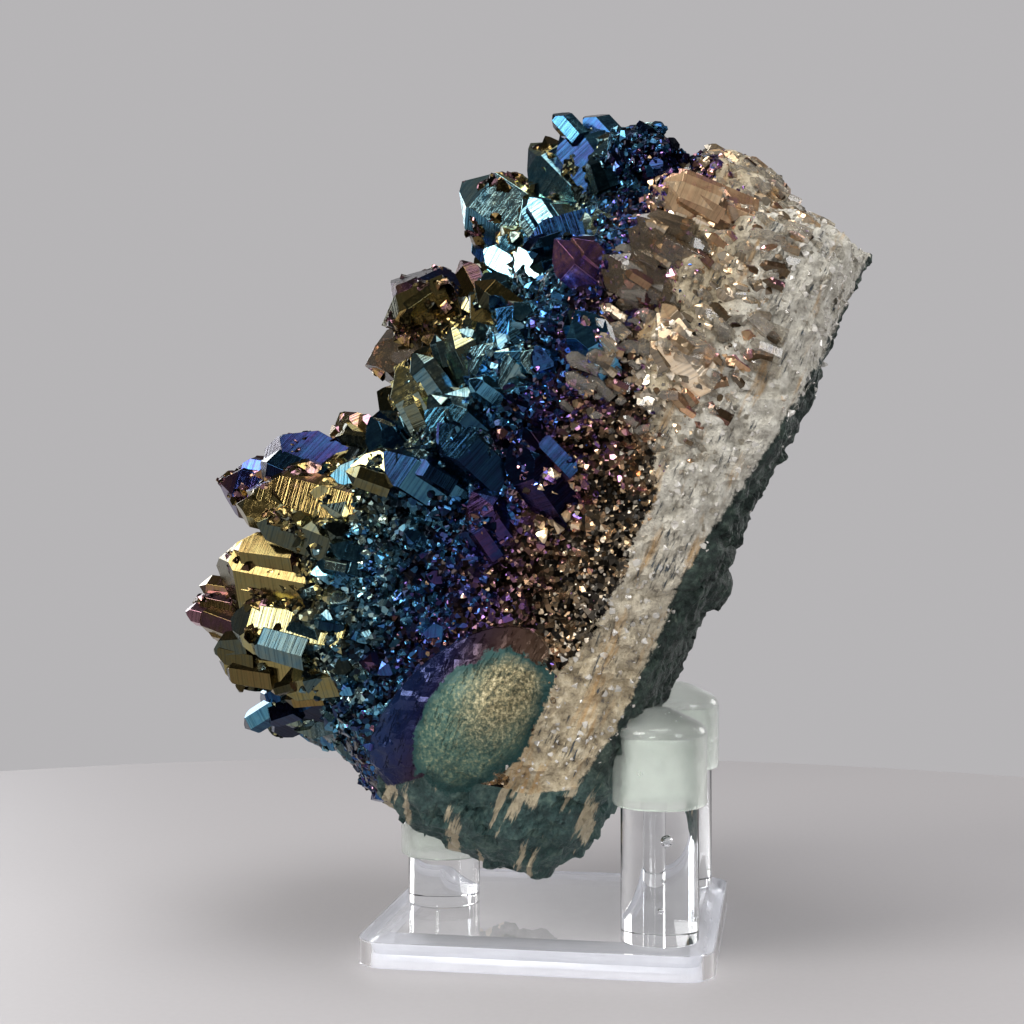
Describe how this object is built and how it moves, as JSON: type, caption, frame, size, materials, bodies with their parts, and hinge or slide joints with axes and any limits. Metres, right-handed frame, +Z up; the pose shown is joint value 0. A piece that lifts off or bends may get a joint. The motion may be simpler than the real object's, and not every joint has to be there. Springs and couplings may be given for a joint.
{
  "type": "aura quartz cluster",
  "caption": "Metal-coated quartz cluster broken from a geode wall, with crystal points, pale quartz band and basalt back, leaning on a clear plate stand with capped pegs.",
  "frame": {"origin": "centre of the underside of the stand's base plate", "axes": "+Z up; the crystal points face -X, the basalt back faces +X and leans on the two tall pegs, and the broken side that shows the layers faces -Y"},
  "size_m": [0.1187, 0.071, 0.1444],
  "materials": {
    "aura_quartz": "gloss",
    "clear_acrylic": "polished",
    "soft_cap": "satin"
  },
  "bodies": {
    "root": {"quartz_cluster": "aura_quartz", "stand_base": "clear_acrylic", "front_peg": "clear_acrylic", "back_peg_right": "clear_acrylic", "back_peg_left": "clear_acrylic", "front_peg_cap": "soft_cap", "back_peg_right_cap": "soft_cap", "back_peg_left_cap": "soft_cap"}
  },
  "joints": []
}
